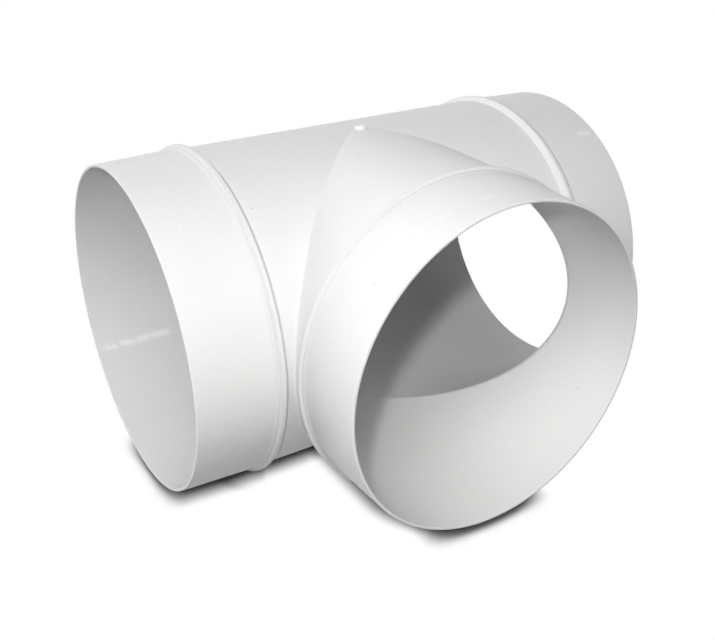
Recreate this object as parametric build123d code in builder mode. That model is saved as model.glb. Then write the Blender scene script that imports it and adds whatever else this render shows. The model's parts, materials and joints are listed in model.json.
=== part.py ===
"""Equal duct tee for 100 mm round ventilation duct, moulded in one piece.

Millimetres, +Z up. The run lies along X, the branch points to -Y, and the origin
is the point where the two duct axes cross. The tee lies flat on its stop rings.
"""

from build123d import *
import os

# Duct way and walls
bore_radius = 48.8
body_wall = 1.2
root_wall = 1.45
mouth_wall = 0.8

# Spigot, from its stop ring to its mouth. Its core is a hair wider than the body's core,
# and leaves a faint step in the duct way where the two meet.
spigot_length = 22.55
mouth_chamfer = 0.2
core_step = 0.05

# Stop ring, from the body outwards: a sloping face, a crest, a drop, a shoulder and a foot
ring_setback = 2.0
ring_rise = 1.45
face_width = 1.4
crest_width = 1.15
drop_width = 0.45
shoulder_rise = 0.4
shoulder_width = 0.4
foot_width = 0.9

# Crease where the branch meets the body, rounded outside and bevelled inside. The branch
# is a hair slimmer than the body, so each crease runs round as one closed line.
crease_fillet = 1.25
inner_bevel = 1.6
branch_slimness = 0.1

# Gate mark on top, where the plastic was let into the mould
gate_mark_radius = 1.9
gate_mark_rise = 0.9
gate_mark_forward = 2.4
gate_mark_aside = 0.8

# Sizes that follow
body_radius = bore_radius + body_wall
branch_radius = body_radius - branch_slimness
branch_bore = bore_radius - branch_slimness
spigot_bore = bore_radius + core_step
root_radius = bore_radius + root_wall
mouth_radius = bore_radius + mouth_wall
ring_radius = body_radius + ring_rise
shoulder_radius = root_radius + shoulder_rise

# Places along a leg, from the crossing of the axes to the mouth
ring_place = body_radius + ring_setback
crest_start = ring_place + face_width
crest_end = crest_start + crest_width
drop_end = crest_end + drop_width
shoulder_end = drop_end + shoulder_width
foot_end = shoulder_end + foot_width
reach = foot_end + spigot_length

# Each leg's half section lies in a plane with x along the leg and y outwards
right_half = Plane(origin=(0, 0, 0), x_dir=(1, 0, 0), z_dir=(0, -1, 0))
left_half = Plane(origin=(0, 0, 0), x_dir=(-1, 0, 0), z_dir=(0, 1, 0))
branch_half = Plane(origin=(0, 0, 0), x_dir=(0, -1, 0), z_dir=(-1, 0, 0))
legs = (
    (right_half, body_radius, bore_radius),
    (left_half, body_radius, bore_radius),
    (branch_half, branch_radius, branch_bore),
)

os.makedirs("parts", exist_ok=True)

with BuildPart() as duct_tee:
    # Three legs, still solid, each turned about its own axis
    for half, barrel_radius, _ in legs:
        with BuildSketch(half):
            with BuildLine():
                Polyline(
                    (foot_end, root_radius),
                    (reach, mouth_radius),
                    (reach, 0),
                    (0, 0),
                    (0, barrel_radius),
                    (ring_place, barrel_radius),
                    (crest_start, ring_radius),
                    (crest_end, ring_radius),
                    (drop_end, shoulder_radius),
                    (shoulder_end, shoulder_radius),
                    close=True,
                )
            make_face()
        revolve(axis=Axis((0, 0, 0), half.x_dir))

    # Rounded crease, on the one free-form edge that the solid legs have
    fillet(duct_tee.edges().filter_by(GeomType.BSPLINE), radius=crease_fillet)

    # Gate mark, a low stub that stands on the top of the body
    with BuildSketch(Plane.XY):
        with Locations((gate_mark_aside, -gate_mark_forward)):
            Circle(gate_mark_radius)
    extrude(amount=body_radius + gate_mark_rise)

    # Duct way, cut in from each mouth
    for half, _, barrel_bore in legs:
        with BuildSketch(half):
            with BuildLine():
                Polyline(
                    (0, 0),
                    (0, barrel_bore),
                    (ring_place, barrel_bore),
                    (ring_place, spigot_bore),
                    (reach, spigot_bore),
                    (reach, 0),
                    close=True,
                )
            make_face()
        revolve(axis=Axis((0, 0, 0), half.x_dir), mode=Mode.SUBTRACT)

    # Bevelled crease inside, on the free-form edge that cutting the last bore left
    inner_crease = duct_tee.edges(Select.LAST).filter_by(GeomType.BSPLINE)
    chamfer(inner_crease, length=inner_bevel)

    # Lead-in round the outside of each mouth, on the longest edges of the three flat rims
    rims = duct_tee.faces().filter_by(GeomType.PLANE).group_by(SortBy.DISTANCE)[-1]
    chamfer(rims.edges().group_by(SortBy.LENGTH)[-1], length=mouth_chamfer)

duct_tee.part.label = "duct_tee"
export_step(duct_tee.part, "parts/duct_tee.step")
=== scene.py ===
"""Round duct tee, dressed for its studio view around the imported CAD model.

Metres, in the CAD frame: the run lies along X, the branch points to -Y, +Z is up,
and the origin is the point where the two duct axes cross.
"""

import json
import logging
import math
from dataclasses import dataclass
from enum import Enum

import bmesh
import bpy
import numpy as np
from mathutils import Matrix, Vector


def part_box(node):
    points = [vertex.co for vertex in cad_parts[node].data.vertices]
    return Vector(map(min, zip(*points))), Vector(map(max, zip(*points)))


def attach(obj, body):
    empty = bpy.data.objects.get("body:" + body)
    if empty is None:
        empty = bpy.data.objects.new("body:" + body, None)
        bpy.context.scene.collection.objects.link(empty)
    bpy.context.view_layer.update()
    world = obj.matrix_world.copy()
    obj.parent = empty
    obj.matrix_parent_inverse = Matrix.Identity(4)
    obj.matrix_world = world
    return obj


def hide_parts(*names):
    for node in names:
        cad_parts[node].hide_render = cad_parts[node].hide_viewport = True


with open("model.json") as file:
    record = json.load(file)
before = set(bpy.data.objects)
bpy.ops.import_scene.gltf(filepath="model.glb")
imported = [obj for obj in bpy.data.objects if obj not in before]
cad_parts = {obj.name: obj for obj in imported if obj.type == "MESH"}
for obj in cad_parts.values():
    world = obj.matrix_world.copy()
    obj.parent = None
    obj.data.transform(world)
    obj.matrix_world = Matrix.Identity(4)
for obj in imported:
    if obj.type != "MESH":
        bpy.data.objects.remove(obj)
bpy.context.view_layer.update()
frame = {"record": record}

MM = 0.001
NODE = "duct_tee"
BODY = "root"
WHITE = (1.0, 1.0, 1.0, 1.0)
WELD = 0.001 * MM
Triple = tuple[float, float, float]
Span = tuple[float, float]
log = logging.getLogger("tee")


class Leg(Enum):
    """The three legs of the tee, each with the way that a point along and round it is placed."""

    RIGHT = "right"
    LEFT = "left"
    BRANCH = "branch"

    def place(self, along: np.ndarray, radius: np.ndarray, turn: np.ndarray) -> np.ndarray:
        """Places points of this leg in the tee's frame.

        Args:
            along: distance from the crossing of the axes, along the leg.
            radius: distance from the leg's axis.
            turn: angle round the axis from the top, towards the branch's mouth on the run
                and towards the right on the branch.

        Returns:
            An array with a last axis of three coordinates.
        """
        across, up = radius * np.sin(turn), radius * np.cos(turn)
        if self is Leg.RIGHT:
            return np.stack([along, -across, up], -1)
        if self is Leg.LEFT:
            return np.stack([-along, -across, up], -1)
        return np.stack([across, -along, up], -1)


@dataclass(frozen=True)
class Corner:
    """A corner of a turned profile: its place along the axis, its radius and its rounding."""

    along: float
    radius: float
    rounding: float = 0.0


def unit(direction: np.ndarray) -> np.ndarray:
    """The direction at a length of one."""
    return direction / np.linalg.norm(direction)


def softened(corners: list[Corner], steps: int) -> list[tuple[float, float]]:
    """A turned profile with its corners rounded.

    Args:
        corners: the profile's corners in order; the two ends stay as they are.
        steps: segments in each rounding.

    Returns:
        (along, radius) pairs from the first corner to the last.
    """
    points = [np.array([corner.along, corner.radius]) for corner in corners]
    out = [tuple(points[0])]
    for before, here, after, corner in zip(points, points[1:], points[2:], corners[1:]):
        if corner.rounding <= 0:
            out.append(tuple(here))
            continue
        back, on = unit(before - here), unit(after - here)
        half = math.acos(max(-1.0, min(1.0, float(back @ on)))) / 2
        reach = corner.rounding / math.tan(half)
        centre = here + unit(back + on) * corner.rounding / math.sin(half)
        start, end = here + back * reach - centre, here + on * reach - centre
        sweep = math.pi - 2 * half
        for step in range(steps + 1):
            share = step / steps
            first, last = math.sin((1 - share) * sweep), math.sin(share * sweep)
            out.append(tuple(centre + (first * start + last * end) / math.sin(sweep)))
    out.append(tuple(points[-1]))
    return out


def round_turns(columns: int) -> np.ndarray:
    """The angles of a turned mesh's columns, once round."""
    return np.arange(columns) * 2 * math.pi / columns


def add_grid(made: bmesh.types.BMesh, points: np.ndarray, closed: bool) -> None:
    """Adds a grid of quads.

    Args:
        made: the mesh that gets them.
        points: rows by columns by three.
        closed: whether the last column joins the first.
    """
    rows, columns = points.shape[:2]
    verts = [[made.verts.new(point) for point in row] for row in points]
    for row in range(rows - 1):
        for column in range(columns if closed else columns - 1):
            beside = (column + 1) % columns
            corners = (
                verts[row][column],
                verts[row + 1][column],
                verts[row + 1][beside],
                verts[row][beside],
            )
            made.faces.new(corners)


def placed(made: bmesh.types.BMesh, name: str, finish: bpy.types.Material) -> bpy.types.Object:
    """Turns a mesh into an object of the scene.

    Args:
        made: the mesh, freed here.
        name: the object's name.
        finish: its material.

    Returns:
        The object.
    """
    mesh = bpy.data.meshes.new(name)
    made.to_mesh(mesh)
    made.free()
    mesh.materials.append(finish)
    thing = bpy.data.objects.new(name, mesh)
    bpy.context.scene.collection.objects.link(thing)
    return thing


def finished(made: bmesh.types.BMesh, name: str, finish: bpy.types.Material) -> bpy.types.Object:
    """Welds and smooths a mesh, and makes it a piece that rides on the tee's body.

    Args:
        made: the mesh, with its grids' edges still unjoined.
        name: the piece's name.
        finish: its material.

    Returns:
        The piece.
    """
    bmesh.ops.remove_doubles(made, verts=made.verts, dist=WELD)
    bmesh.ops.dissolve_degenerate(made, edges=made.edges, dist=WELD)
    bmesh.ops.recalc_face_normals(made, faces=made.faces)
    for face in made.faces:
        face.smooth = True
    open_edges = sum(1 for edge in made.edges if len(edge.link_faces) != 2)
    log.info("%s: %d faces, %d edges without two faces", name, len(made.faces), open_edges)
    piece = placed(made, name, finish)
    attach(piece, BODY)
    return piece


class Field:
    """A number that varies over a surface. Python's operators on it add Math nodes."""

    def __init__(self, bench: "Bench", socket: bpy.types.NodeSocket) -> None:
        """Wraps one output socket of the bench's node tree."""
        self.bench = bench
        self.socket = socket

    def _math(self, operation: str, *values: "Field | float") -> "Field":
        """A Math node's result on one or two values."""
        inputs = dict(enumerate(values))
        return self.bench.field("ShaderNodeMath", 0, {"operation": operation}, inputs)

    def __add__(self, other: "Field | float") -> "Field":
        """self + other."""
        return self._math("ADD", self, other)

    def __radd__(self, other: float) -> "Field":
        """other + self."""
        return self._math("ADD", other, self)

    def __sub__(self, other: "Field | float") -> "Field":
        """self - other."""
        return self._math("SUBTRACT", self, other)

    def __rsub__(self, other: float) -> "Field":
        """other - self."""
        return self._math("SUBTRACT", other, self)

    def __mul__(self, other: "Field | float") -> "Field":
        """self * other."""
        return self._math("MULTIPLY", self, other)

    def __rmul__(self, other: float) -> "Field":
        """other * self."""
        return self._math("MULTIPLY", other, self)

    def highest(self, other: "Field | float") -> "Field":
        """The larger of this value and another."""
        return self._math("MAXIMUM", self, other)

    def size(self) -> "Field":
        """This value without its sign."""
        return self._math("ABSOLUTE", self)

    def smooth(self, low: float, high: float) -> "Field":
        """A soft step of this value.

        Args:
            low: where the step is still 0; it may be larger than high.
            high: where the step has reached 1.

        Returns:
            The step.
        """
        settings = {"interpolation_type": "SMOOTHSTEP"}
        inputs = {"Value": self, "From Min": low, "From Max": high}
        return self.bench.field("ShaderNodeMapRange", 0, settings, inputs)


class Bench:
    """A node tree and the one way of adding nodes to it."""

    def __init__(self, tree: bpy.types.NodeTree) -> None:
        """Clears the tree."""
        self.tree = tree
        tree.nodes.clear()

    def add(self, kind: str, settings: dict | None = None, inputs: dict | None = None) -> bpy.types.Node:
        """Adds a node.

        Args:
            kind: the node's type.
            settings: properties to set first, such as an operation.
            inputs: values or links by socket name or number.

        Returns:
            The node.
        """
        node = self.tree.nodes.new(kind)
        for name, value in (settings or {}).items():
            setattr(node, name, value)
        for name, value in (inputs or {}).items():
            socket = node.inputs[name]
            value = value.socket if isinstance(value, Field) else value
            if isinstance(value, bpy.types.NodeSocket):
                self.tree.links.new(value, socket)
            else:
                socket.default_value = value
        return node

    def field(
        self,
        kind: str,
        output: str | int,
        settings: dict | None = None,
        inputs: dict | None = None,
    ) -> Field:
        """A new node's output as a Field; the arguments are those of add, with the output's name."""
        return Field(self, self.add(kind, settings, inputs).outputs[output])

    def noise(self, place: bpy.types.NodeSocket, noise: "Noise") -> Field:
        """The noise at a place, from 0 to 1."""
        inputs = {"Vector": place, "Scale": noise.scale, "Detail": noise.detail}
        return self.field("ShaderNodeTexNoise", 0, None, inputs)

    def axes(self, place: bpy.types.NodeSocket) -> tuple[Field, Field, Field]:
        """The three coordinates of a place."""
        split = self.add("ShaderNodeSeparateXYZ", None, {0: place})
        return tuple(Field(self, split.outputs[name]) for name in "XYZ")

    def surface(self, shader: bpy.types.Node) -> None:
        """Makes a shader the material's surface."""
        self.add("ShaderNodeOutputMaterial", None, {"Surface": shader.outputs[0]})


@dataclass(frozen=True)
class Noise:
    """A soft noise in the skin: its waves to the metre, and how many finer octaves it has."""

    scale: float
    detail: float


@dataclass(frozen=True)
class Mark:
    """A faint mark on the skin, used for scratches, painted highlights and a painted reflection: a short
    strip between two planes, ended by a ball round its middle.

    Attributes:
        middle: where it lies.
        across: unit vector square to the strip.
        half_width: half of its width.
        half_length: radius of the ball, where the mark has faded out.
        tone: what it adds to the skin's tone; a shaded scratch is below 0.
        broken: whether it has gaps.
        core: share of half_length from which the mark fades.
    """

    middle: Triple
    across: Triple
    half_width: float
    half_length: float
    tone: float
    broken: bool = False
    core: float = 0.6

    def strength(self, bench: Bench, place: bpy.types.NodeSocket, gaps: Field) -> Field:
        """How strongly the mark shows at a place, times its tone.

        Args:
            bench: the material's bench.
            place: the point on the skin.
            gaps: 0 in the gaps of a broken mark and 1 between them.

        Returns:
            The mark's share in the skin's tone.
        """
        vector = "ShaderNodeVectorMath"
        offset = bench.add(vector, {"operation": "SUBTRACT"}, {0: place, 1: self.middle}).outputs[0]
        aside = bench.field(vector, 1, {"operation": "DOT_PRODUCT"}, {0: offset, 1: self.across})
        away = bench.field(vector, 1, {"operation": "LENGTH"}, {0: offset})
        width = aside.size().smooth(self.half_width, 0.0)
        shown = width * away.smooth(self.half_length, self.half_length * self.core)
        if self.broken:
            shown = shown * gaps
        return shown * self.tone


LEFT_SPIGOT_SCRATCH = Mark(
    middle=(-70.6 * MM, -22.0 * MM, 44.9 * MM),
    across=(1.0, 0.0, 0.0),
    half_width=0.25 * MM,
    half_length=12 * MM,
    tone=0.035,
)
# Painted reflection: a bright broken streak of lamp light on the inner wall of the left mouth.
LEFT_MOUTH_PAINTED_REFLECTION = Mark(
    middle=(-63.7 * MM, 41.2 * MM, -26.0 * MM),
    across=(0.0, 0.533, 0.846),
    half_width=2.0 * MM,
    half_length=15 * MM,
    tone=0.2,
    broken=True,
)
BRANCH_SIDE_SCRATCH = Mark(
    middle=(-50.0 * MM, -71.0 * MM, 0.7 * MM),
    across=(0.0, 0.0, 1.0),
    half_width=0.3 * MM,
    half_length=9 * MM,
    tone=-0.04,
)
INNER_FLOOR_SCRATCH = Mark(
    middle=(38.0 * MM, 0.0, -48.8 * MM),
    across=(0.0, 1.0, 0.0),
    half_width=0.3 * MM,
    half_length=10 * MM,
    tone=0.06,
)
# Painted highlight: a soft squarish lamp glint on the right spigot.
RIGHT_SPIGOT_GLINT = Mark(
    middle=(73.8 * MM, -25.6 * MM, 42.9 * MM),
    across=(0.0, 0.86, 0.51),
    half_width=2.0 * MM,
    half_length=3.6 * MM,
    tone=0.13,
)
# Painted highlight: a small lamp glint on top of the branch's spigot.
BRANCH_TOP_GLINT = Mark(
    middle=(-3.6 * MM, -70.9 * MM, 49.9 * MM),
    across=(0.0, 1.0, 0.0),
    half_width=1.6 * MM,
    half_length=3.5 * MM,
    tone=0.05,
)
# Painted highlight: a small lamp glint on the branch's spigot, left of its top.
BRANCH_LEFT_GLINT = Mark(
    middle=(-17.1 * MM, -70.2 * MM, 47.0 * MM),
    across=(0.0, 1.0, 0.0),
    half_width=1.8 * MM,
    half_length=3.2 * MM,
    tone=0.05,
)


@dataclass(frozen=True)
class MouldedWhite:
    """Satin white moulded plastic, with slight waves, specks and scratches, painted highlights and a
    painted reflection, and painted shade on its stop rings and crease.

    A shade is a share of the skin's tone.

    Attributes:
        name: the material's name.
        colour: its colour, before the tone varies it.
        refraction: its index of refraction.
        roughness: its mean roughness.
        roughness_spread: how far the clouds vary the roughness.
        coat: weight of the thin gloss on top.
        coat_roughness: roughness of that gloss.
        wave: the skin's slow waves.
        wave_depth: their depth.
        grain: its fine grain.
        grain_depth: its depth.
        cloud: faint clouds.
        cloud_shade: how far they vary the tone.
        mottle: fine mottle.
        mottle_shade: how far it varies the tone.
        specks: cells to the metre, with a speck in each.
        speck_edge: where a speck ends and where it is darkest, in cells from its middle.
        speck_shade: how dark it is.
        gaps: the gaps in a broken mark.
        gap_edge: noise at which a gap starts to close and is closed.
        ring_start: where the painted shade on a stop ring starts, along the leg, on the crest.
        ring_end: where it ends, at the foot.
        ring_skin: radii between which the inside's skin ends and the outside's begins.
        ring_painted_shade: how much deeper the painted shade makes a ring's tone, damping the light on
            its brightly lit faces.
        crease_skin: radii between which both tubes' skins end and the rounding's begins.
        crease_edge: how far off the crease's plane, along an axis, its painted shade starts and is full.
        crease_painted_shade: how much deeper the painted shade makes the crease's tone, damping the
            light line on its rounding.
        marks: scratches, painted highlights and a painted reflection on the skin.
    """

    name: str = "moulded_white"
    colour: Triple = (0.69, 0.69, 0.685)
    refraction: float = 1.4
    roughness: float = 0.42
    roughness_spread: float = 0.1
    coat: float = 0.05
    coat_roughness: float = 0.15
    wave: Noise = Noise(24.0, 1.5)
    wave_depth: float = 0.12 * MM
    grain: Noise = Noise(2200.0, 2.0)
    grain_depth: float = 0.003 * MM
    cloud: Noise = Noise(55.0, 3.0)
    cloud_shade: float = 0.05
    mottle: Noise = Noise(900.0, 3.0)
    mottle_shade: float = 0.05
    specks: float = 95.0
    speck_edge: Span = (0.04, 0.015)
    speck_shade: float = 0.25
    gaps: Noise = Noise(260.0, 1.0)
    gap_edge: Span = (0.32, 0.52)
    ring_start: Span = (54.0 * MM, 54.4 * MM)
    ring_end: Span = (56.6 * MM, 55.8 * MM)
    ring_skin: Span = (49.2 * MM, 49.9 * MM)
    ring_painted_shade: float = 0.08
    crease_skin: Span = (49.95 * MM, 50.15 * MM)
    crease_edge: Span = (1.2 * MM, 0.3 * MM)
    crease_painted_shade: float = 0.06
    marks: tuple[Mark, ...] = (
        LEFT_SPIGOT_SCRATCH,
        LEFT_MOUTH_PAINTED_REFLECTION,
        BRANCH_SIDE_SCRATCH,
        INNER_FLOOR_SCRATCH,
        RIGHT_SPIGOT_GLINT,
        BRANCH_TOP_GLINT,
        BRANCH_LEFT_GLINT,
    )

    def painted_shade_zones(self, bench: Bench, place: bpy.types.NodeSocket) -> tuple[Field, Field]:
        """Finds where shade is painted: the outside of the three stop rings, from the crest to the foot,
        and the crease.

        Args:
            bench: the material's bench.
            place: the point on the skin.

        Returns:
            1 on the rings and 0 elsewhere, and 1 on the crease and 0 elsewhere.
        """
        x, y, z = bench.axes(place)
        crease = (x.size() + y).size().smooth(*self.crease_edge)
        rings = []
        for along, across in ((x, y), (y, x)):
            squared_radius = across * across + z * z
            on_ring = along.size().smooth(*self.ring_start)
            off_ring = along.size().smooth(*self.ring_end)
            outside = squared_radius.smooth(*(radius**2 for radius in self.ring_skin))
            rings.append(outside * on_ring * off_ring)
            crease = crease * squared_radius.smooth(*(radius**2 for radius in self.crease_skin))
        return rings[0].highest(rings[1]), crease

    def tone(self, bench: Bench, place: bpy.types.NodeSocket, cloud: Field) -> Field:
        """The skin's tone, about 1: faint clouds and mottle, dark specks, painted shade on the rings and
        crease, and the marks, among them painted highlights and a painted reflection.

        Args:
            bench: the material's bench.
            place: the point on the skin.
            cloud: broad soft noise.

        Returns:
            The factor on the plastic's colour.
        """
        mottle = bench.noise(place, self.mottle)
        gaps = bench.noise(place, self.gaps).smooth(*self.gap_edge)
        cells = {"Vector": place, "Scale": self.specks}
        specks = bench.field("ShaderNodeTexVoronoi", "Distance", None, cells).smooth(*self.speck_edge)
        ring, crease = self.painted_shade_zones(bench, place)
        total = 1.0 + (cloud - 0.5) * self.cloud_shade + (mottle - 0.5) * self.mottle_shade
        total = total - specks * self.speck_shade
        # Painted shade deepens the tone on the stop rings and on the crease.
        total = total - ring * self.ring_painted_shade - crease * self.crease_painted_shade
        for mark in self.marks:
            total = total + mark.strength(bench, place, gaps)
        return total

    def material(self) -> bpy.types.Material:
        """Makes the finish.

        Returns:
            The material.
        """
        made = bpy.data.materials.new(self.name)
        made.use_nodes = True
        bench = Bench(made.node_tree)
        place = bench.add("ShaderNodeTexCoord").outputs["Object"]
        wave = bench.noise(place, self.wave)
        grain = bench.noise(place, self.grain)
        cloud = bench.noise(place, self.cloud)
        height = wave * self.wave_depth + grain * self.grain_depth
        bump = bench.add("ShaderNodeBump", None, {"Height": height, "Distance": 1.0, "Strength": 1.0})
        scaled = {"Vector": self.colour, "Scale": self.tone(bench, place, cloud)}
        tint = bench.add("ShaderNodeVectorMath", {"operation": "SCALE"}, scaled)
        sockets = {
            "Base Color": tint.outputs[0],
            "Roughness": self.roughness + (cloud - 0.5) * self.roughness_spread,
            "Normal": bump.outputs[0],
            "IOR": self.refraction,
            "Coat Weight": self.coat,
            "Coat Roughness": self.coat_roughness,
        }
        bench.surface(bench.add("ShaderNodeBsdfPrincipled", None, sockets))
        return made


@dataclass
class Shell:
    """The tee's one thin shell: three legs, each with its stop ring and tapered spigot.

    Attributes:
        bore_radius: inside radius of the duct way.
        reach: from the crossing of the axes to a mouth.
        ring_radius: radius of a stop ring's crest.
        body_radius: outside radius of the legs.
        root_radius: outside radius of a spigot at its root.
        mouth_radius: outside radius of a spigot at its mouth.
        ring_place: where a ring's sloping face starts along the leg.
        face_width: length of the sloping face along the leg.
        crest_width: length of the crest.
        drop_width: length of the drop from the crest to the shoulder.
        shoulder_rise: height of the shoulder over the spigot's root.
        shoulder_width: length of the shoulder.
        foot_width: length of the foot, which runs out to the spigot.
        face_lead: length of the row of body skin just before the face.
        root_row: how far from the foot the spigot's first row lies.
        root_row_drop: how far the spigot has tapered in there.
        mouth_row: how far from the mouth its last row lies.
        mouth_row_rise: how much wider than the mouth the spigot still is there.
        face_round: rounding where the sloping face starts.
        crest_round: rounding between the face and the crest.
        brow_round: rounding between the crest and the drop.
        shoulder_round: roundings of the shoulder.
        foot_round: rounding where the foot meets the spigot.
        lip_round: outer rounding of the mouth's edge.
        lip_inner_round: its inner rounding.
        corner_steps: segments in each of these roundings.
        outer_fillet: rounding of the crease between run and branch, outside.
        inner_fillet: rounding of the crease inside.
        columns: columns round each leg.
        body_rows: rows along a leg's body, outside and inside each.
        crease_steps: segments across the crease's rounding.
        flat: angle of the crease, in radians, under which it has no rounding left.
        close_row: distance of the row beside the crease, which keeps its shading crisp.
        finish: the plastic that it is moulded of.
    """

    bore_radius: float
    reach: float
    ring_radius: float
    body_radius: float = 50.0 * MM
    root_radius: float = 50.25 * MM
    mouth_radius: float = 49.6 * MM
    ring_place: float = 52.1 * MM
    face_width: float = 1.3 * MM
    crest_width: float = 1.15 * MM
    drop_width: float = 0.45 * MM
    shoulder_rise: float = 0.4 * MM
    shoulder_width: float = 0.4 * MM
    foot_width: float = 0.9 * MM
    face_lead: float = 0.16 * MM
    root_row: float = 1.2 * MM
    root_row_drop: float = 0.035 * MM
    mouth_row: float = 1.0 * MM
    mouth_row_rise: float = 0.03 * MM
    face_round: float = 0.3 * MM
    crest_round: float = 0.45 * MM
    brow_round: float = 0.35 * MM
    shoulder_round: float = 0.12 * MM
    foot_round: float = 0.8 * MM
    lip_round: float = 0.25 * MM
    lip_inner_round: float = 0.15 * MM
    corner_steps: int = 4
    outer_fillet: float = 0.8 * MM
    inner_fillet: float = 2.6 * MM
    columns: int = 480
    body_rows: int = 6
    crease_steps: int = 10
    flat: float = 1e-6
    close_row: float = 0.15 * MM
    finish: MouldedWhite = MouldedWhite()

    def profile(self) -> list[tuple[float, float]]:
        """The turned profile from the ring's sloping face out to the mouth and back inside to the ring.

        Returns:
            (along, radius) pairs in order.
        """
        crest_start = self.ring_place + self.face_width
        crest_end = crest_start + self.crest_width
        drop = crest_end + self.drop_width
        shoulder = drop + self.shoulder_width
        foot = shoulder + self.foot_width
        shoulder_radius = self.root_radius + self.shoulder_rise
        corners = [
            Corner(self.ring_place - self.face_lead, self.body_radius),
            Corner(self.ring_place, self.body_radius, self.face_round),
            Corner(crest_start, self.ring_radius, self.crest_round),
            Corner(crest_end, self.ring_radius, self.brow_round),
            Corner(drop, shoulder_radius, self.shoulder_round),
            Corner(shoulder, shoulder_radius, self.shoulder_round),
            Corner(foot, self.root_radius, self.foot_round),
            Corner(foot + self.root_row, self.root_radius - self.root_row_drop),
            Corner(self.reach - self.mouth_row, self.mouth_radius + self.mouth_row_rise),
            Corner(self.reach, self.mouth_radius, self.lip_round),
            Corner(self.reach, self.bore_radius, self.lip_inner_round),
            Corner(self.reach - self.mouth_row, self.bore_radius),
            Corner(self.ring_place, self.bore_radius),
        ]
        return softened(corners, self.corner_steps)

    def body_places(self, crease: np.ndarray, ring: float) -> list[np.ndarray]:
        """Places of the rows along a leg's body, with a close row beside the crease.

        Args:
            crease: where the crease ends, for each column.
            ring: where the ring's profile starts.

        Returns:
            The places of the rows for each column, from the crease to the ring.
        """
        close = crease + np.minimum(self.close_row, (ring - crease) / 2)
        spread = [close + (ring - close) * row / self.body_rows for row in range(self.body_rows + 1)]
        return [crease, *spread]

    def leg_grid(self, leg: Leg) -> np.ndarray:
        """One leg's points, row by row from the crease outside, round the mouth, to the crease inside.

        Args:
            leg: which leg.

        Returns:
            An array of rows by columns by three.
        """
        turn = round_turns(self.columns)
        side = np.sin(turn)
        lean = np.abs(side) if leg is Leg.BRANCH else np.maximum(side, 0.0)
        profile = self.profile()
        outside = (self.body_radius + self.outer_fillet) * lean
        inside = (self.bore_radius + self.inner_fillet) * lean
        rows = []
        for along in self.body_places(outside, profile[0][0])[:-1]:
            rows.append(leg.place(along, np.full_like(turn, self.body_radius), turn))
        for along, radius in profile:
            rows.append(leg.place(np.full_like(turn, along), np.full_like(turn, radius), turn))
        for along in self.body_places(inside, profile[-1][0])[-2::-1]:
            rows.append(leg.place(along, np.full_like(turn, self.bore_radius), turn))
        return np.array(rows)

    def crease_grid(self, leg: Leg, skin: float, fillet: float) -> np.ndarray:
        """The rounded crease between one side of the run and the branch, from the run to the branch.

        Args:
            leg: the side of the run.
            skin: radius of the two skins that meet in the crease, outside or inside.
            fillet: radius of the rounding.

        Returns:
            An array of rows by columns by three, over half a turn from the top to the bottom.
        """
        turn = round_turns(self.columns)[: self.columns // 2 + 1]
        side, up, zero = np.sin(turn), np.cos(turn), np.zeros_like(turn)
        far = skin + fillet
        centre = np.stack([far * side, -far * side, far * up], -1)
        to_run = np.stack([zero, side, -up], -1)
        to_branch = np.stack([-side, zero, -up], -1)
        sweep = np.arccos(np.clip(up * up, -1, 1))[:, None]
        thin = sweep < self.flat
        spread = np.where(thin, 1.0, np.sin(sweep))
        rows = []
        for step in range(self.crease_steps + 1):
            share = step / self.crease_steps
            first = np.where(thin, 1 - share, np.sin((1 - share) * sweep) / spread)
            last = np.where(thin, share, np.sin(share * sweep) / spread)
            rows.append(centre + fillet * (first * to_run + last * to_branch))
        mirror = -1.0 if leg is Leg.LEFT else 1.0
        return np.array(rows) * np.array([mirror, 1.0, 1.0])

    def build(self) -> bpy.types.Object:
        """Makes the shell as one closed mesh.

        Returns:
            The piece.
        """
        made = bmesh.new()
        for leg in Leg:
            add_grid(made, self.leg_grid(leg), closed=True)
        for leg in (Leg.RIGHT, Leg.LEFT):
            add_grid(made, self.crease_grid(leg, self.body_radius, self.outer_fillet), closed=False)
            add_grid(made, self.crease_grid(leg, self.bore_radius, self.inner_fillet), closed=False)
        return finished(made, "tee_shell", self.finish.material())


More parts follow.
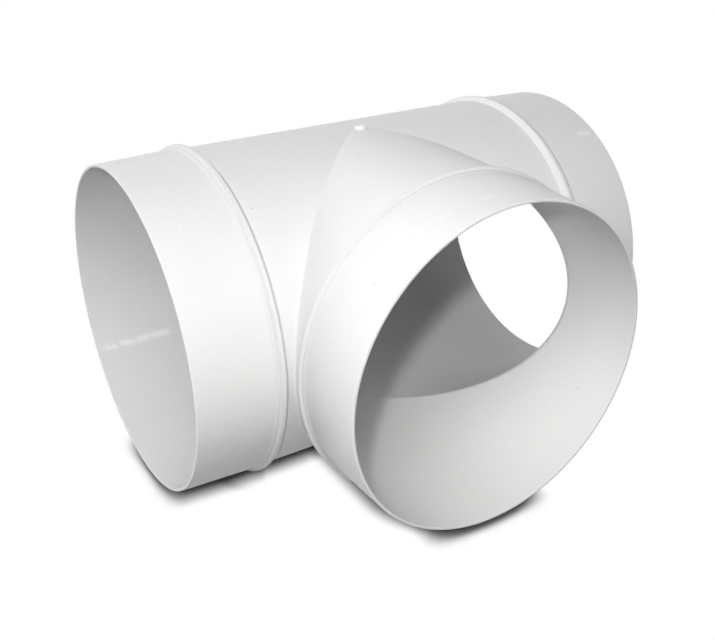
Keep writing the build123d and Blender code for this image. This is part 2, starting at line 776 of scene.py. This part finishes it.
@dataclass
class GateMark:
    """The low stub on top of the body, where the plastic was let into the mould.

    Attributes:
        body_radius: height of the body's top.
        aside: how far it stands to the right of the crossing of the axes.
        forward: how far it stands towards the branch.
        radius: its radius at the foot.
        rise: its height over the body.
        sunk: how far its foot reaches into the body.
        taper: the share of the radius that the rim has.
        dimple_radius: radius of the dimple's edge.
        dimple_drop: how far that edge lies under the rim.
        pit_radius: radius of the pit in the dimple's middle.
        pit_drop: how far the pit lies under the rim.
        foot_round: rounding of the foot.
        rim_round: rounding of the rim.
        dimple_round: rounding of the dimple's edge.
        pit_round: rounding of the pit.
        corner_steps: segments in each rounding.
        columns: columns round it.
        finish: its plastic, paler than the shell's as a painted highlight on the stub.
    """

    body_radius: float
    aside: float = 0.8 * MM
    forward: float = 2.4 * MM
    radius: float = 1.9 * MM
    rise: float = 0.9 * MM
    sunk: float = 0.5 * MM
    taper: float = 0.86
    dimple_radius: float = 0.6 * MM
    dimple_drop: float = 0.1 * MM
    pit_radius: float = 0.3 * MM
    pit_drop: float = 0.3 * MM
    foot_round: float = 0.05 * MM
    rim_round: float = 0.35 * MM
    dimple_round: float = 0.2 * MM
    pit_round: float = 0.1 * MM
    corner_steps: int = 5
    columns: int = 48
    # Paler colour: a painted highlight on the stub.
    finish: MouldedWhite = MouldedWhite(name="gate_mark_painted_highlight", colour=(0.80, 0.80, 0.79))

    def build(self) -> bpy.types.Object:
        """Makes the stub as one closed turned mesh.

        Returns:
            The piece.
        """
        corners = [
            Corner(-self.sunk, 0.0),
            Corner(-self.sunk, self.radius, self.foot_round),
            Corner(self.rise, self.radius * self.taper, self.rim_round),
            Corner(self.rise - self.dimple_drop, self.dimple_radius, self.dimple_round),
            Corner(self.rise - self.pit_drop, self.pit_radius, self.pit_round),
            Corner(self.rise - self.pit_drop, 0.0),
        ]
        foot = np.array([self.aside, -self.forward, self.body_radius])
        turn = round_turns(self.columns)
        round_it = np.stack([np.cos(turn), np.sin(turn), np.zeros_like(turn)], -1)
        upwards = np.array([0.0, 0.0, 1.0])
        outline = softened(corners, self.corner_steps)
        rows = [foot + radius * round_it + height * upwards for height, radius in outline]
        made = bmesh.new()
        add_grid(made, np.array(rows), closed=True)
        return finished(made, "gate_mark", self.finish.material())


@dataclass(frozen=True)
class Lamp:
    """A square lamp, which the plastic's gloss doesn't mirror.

    Attributes:
        name: its name.
        place: where it stands.
        side: length of its sides.
        watts: how strong it is.
        aim: the point that it faces.
    """

    name: str
    place: Triple
    side: float
    watts: float
    aim: Triple = (0.0, -0.02, 0.0)

    def hang(self) -> bpy.types.Object:
        """Adds the lamp to the scene, facing its aim.

        Returns:
            The lamp.
        """
        light = bpy.data.lights.new(self.name, "AREA")
        light.shape = "SQUARE"
        light.size = self.side
        light.energy = self.watts
        lamp = bpy.data.objects.new(self.name, light)
        lamp.location = self.place
        lamp.rotation_mode = "QUATERNION"
        lamp.rotation_quaternion = (Vector(self.aim) - Vector(self.place)).to_track_quat("-Z", "Y")
        lamp.visible_glossy = False
        bpy.context.scene.collection.objects.link(lamp)
        return lamp


def seen_rays(bench: Bench) -> Field:
    """Tells the rays that show a surround to the camera, straight or in a reflection.

    Args:
        bench: the bench of the surround's material.

    Returns:
        1 for those rays and 0 for the rest.
    """
    rays = bench.add("ShaderNodeLightPath")
    seen = Field(bench, rays.outputs["Is Camera Ray"])
    for name in ("Is Glossy Ray", "Is Transmission Ray"):
        seen = seen.highest(Field(bench, rays.outputs[name]))
    return seen


@dataclass(frozen=True)
class Studio:
    """A pale floor, a white surround and soft lamps.

    Attributes:
        floor_level: height of the floor.
        floor_size: length of its sides.
        floor_tone: the grey from which it throws light back on the object.
        shade_tone: its grey in the contact shadow.
        shade_reach: how far from the object the contact shadow reaches.
        shade_openness: openness to the sky at which the shadow is full and at which it is gone.
        shade_samples: rays that feel for the object.
        belly_half_width: half of the width of the oval strip of painted shadow under the branch.
        belly_front: where the strip's rounded end starts, from the run's axis.
        belly_back: where the strip has faded in behind the run's axis.
        belly_edge: squared distance from the strip's middle line, in half widths, where its shade
            starts and where it is full.
        lamps: the lamps.
    """

    floor_level: float
    floor_size: float = 6.0
    floor_tone: float = 0.25
    shade_tone: float = 0.12
    shade_reach: float = 7.5 * MM
    shade_openness: Span = (0.3, 0.92)
    shade_samples: int = 16
    belly_half_width: float = 27.5 * MM
    belly_front: float = 51.0 * MM
    belly_back: float = 10.0 * MM
    belly_edge: Span = (1.3, 0.72)
    lamps: tuple[Lamp, ...] = (
        Lamp("flash", (-0.190, -0.262, 0.177), 0.014, 0.655),
        Lamp("left_lamp", (-0.43, -0.43, 0.73), 0.6, 3.9),
        Lamp("front_lamp", (0.0, -0.61, 0.73), 0.6, 2.1),
        Lamp("rear_lamp", (-0.81, 0.47, 0.165), 0.6, 3.8),
        Lamp("back_lamp", (0.0, 0.86, 0.40), 0.6, 3.6),
    )

    def belly_painted_shadow(self, bench: Bench) -> Field:
        """Finds the oval strip of floor under the branch, where a shadow of its belly is painted.

        Args:
            bench: the bench of the floor's material.

        Returns:
            1 in the strip and 0 outside.
        """
        place = bench.add("ShaderNodeTexCoord").outputs["Object"]
        x, y, _ = bench.axes(place)
        across = x * (1 / self.belly_half_width)
        ahead = ((y + self.belly_front) * (-1 / self.belly_half_width)).highest(0.0)
        oval = across * across + ahead * ahead
        return oval.smooth(*self.belly_edge) * y.smooth(0.0, -self.belly_back)

    def floor_material(self) -> bpy.types.Material:
        """Pale floor that the camera sees as plain white, but for the object's contact shadow: grey
        where ambient occlusion finds the object near, and a painted shadow in the oval strip under the
        branch.

        Returns:
            The material. Seen from below it is clear, so that the object's underside shows.
        """
        made = bpy.data.materials.new("pale_floor")
        made.use_nodes = True
        bench = Bench(made.node_tree)
        grey, deep = ((tone, tone, tone, 1.0) for tone in (self.floor_tone, self.shade_tone))
        matt = bench.add("ShaderNodeBsdfDiffuse", None, {"Color": grey}).outputs[0]
        shade = bench.add("ShaderNodeBsdfDiffuse", None, {"Color": deep}).outputs[0]
        white = bench.add("ShaderNodeEmission", None, {"Color": WHITE, "Strength": 1.0}).outputs[0]
        glass = bench.add("ShaderNodeBsdfTransparent").outputs[0]
        feel, reach = {"samples": self.shade_samples}, {"Distance": self.shade_reach}
        openness = bench.field("ShaderNodeAmbientOcclusion", "AO", feel, reach)
        clear = openness.smooth(*self.shade_openness) * (1.0 - self.belly_painted_shadow(bench))
        shown = bench.add("ShaderNodeMixShader", None, {0: clear, 1: shade, 2: white}).outputs[0]
        inputs = {0: seen_rays(bench), 1: matt, 2: shown}
        from_above = bench.add("ShaderNodeMixShader", None, inputs).outputs[0]
        from_below = bench.add("ShaderNodeNewGeometry").outputs["Backfacing"]
        bench.surface(bench.add("ShaderNodeMixShader", None, {0: from_below, 1: from_above, 2: glass}))
        return made

    def build_floor(self) -> bpy.types.Object:
        """Lays the floor under the tee's stop rings.

        Returns:
            The floor.
        """
        half = self.floor_size / 2
        made = bmesh.new()
        corners = [(-half, -half), (half, -half), (half, half), (-half, half)]
        made.faces.new([made.verts.new((x, y, self.floor_level)) for x, y in corners])
        floor = placed(made, "floor", self.floor_material())
        return floor

    def build_world(self) -> None:
        """Gives the camera a white surround, which doesn't light the object."""
        world = bpy.data.worlds.new("surround")
        bpy.context.scene.world = world
        world.use_nodes = True
        bench = Bench(world.node_tree)
        dark, white = (
            bench.add("ShaderNodeBackground", None, {"Color": WHITE, "Strength": strength}).outputs[0]
            for strength in (0.0, 1.0)
        )
        mixed = bench.add("ShaderNodeMixShader", None, {0: seen_rays(bench), 1: dark, 2: white})
        bench.add("ShaderNodeOutputWorld", None, {"Surface": mixed.outputs[0]})

    def build(self) -> None:
        """Builds floor, surround and lamps."""
        self.build_floor()
        self.build_world()
        for lamp in self.lamps:
            lamp.hang()
            log.info("%s: %.3f W", lamp.name, lamp.watts)


@dataclass(frozen=True)
class Viewpoint:
    """The camera at the photograph's viewing angle.

    Attributes:
        place: where it stands.
        azimuth: degrees that it stands round from the branch's side, to the right.
        elevation: degrees that it looks down.
        roll: degrees that it leans.
        frame_width: width of the photograph in pixels.
        focal_pixels: focal length in the same pixels.
        sensor: width of the camera's sensor in millimetres.
        near: where its view starts.
        far: where its view ends.
    """

    place: Triple = (-0.14846, -0.24071, 0.12928)
    azimuth: float = -31.8249
    elevation: float = 27.5122
    roll: float = 0.1264
    frame_width: int = 715
    focal_pixels: float = 920.4
    sensor: float = 36.0
    near: float = 0.01
    far: float = 20.0

    def build(self) -> bpy.types.Object:
        """Adds the camera and makes it the scene's own.

        Returns:
            The camera.
        """
        data = bpy.data.cameras.new("camera")
        data.sensor_fit = "HORIZONTAL"
        data.sensor_width = self.sensor
        data.lens = self.focal_pixels / self.frame_width * self.sensor
        data.clip_start, data.clip_end = self.near, self.far
        camera = bpy.data.objects.new("camera", data)
        round_by, down_by, lean = (
            math.radians(angle) for angle in (self.azimuth, self.elevation, self.roll)
        )
        level = math.cos(down_by)
        back = Vector((math.sin(round_by) * level, -math.cos(round_by) * level, math.sin(down_by)))
        right = Vector((0, 0, 1)).cross(back).normalized()
        up = back.cross(right)
        leaning_right = right * math.cos(lean) - up * math.sin(lean)
        leaning_up = up * math.cos(lean) + right * math.sin(lean)
        turned = Matrix((leaning_right, leaning_up, back)).transposed()
        camera.matrix_world = Matrix.Translation(self.place) @ turned.to_4x4()
        bpy.context.scene.collection.objects.link(camera)
        bpy.context.scene.camera = camera
        return camera


def mount_radius(name: str) -> float:
    """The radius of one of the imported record's round mounts, in metres."""
    found = next(mount for mount in frame["record"]["mounts"] if mount["name"] == name)
    return found["dims"]["r_mm"] * MM


def main() -> None:
    """Builds the camera, the tee and the studio."""
    logging.basicConfig(level=logging.INFO, format="%(name)s: %(message)s")
    bpy.context.scene.view_settings.view_transform = "Standard"
    low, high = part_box(NODE)
    Viewpoint().build()
    shell = Shell(bore_radius=mount_radius("run_bore"), reach=high.x, ring_radius=high.z)
    piece = shell.build()
    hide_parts(NODE)
    GateMark(body_radius=shell.body_radius).build()
    Studio(floor_level=low.z).build()


if __name__ == "__main__":
    main()
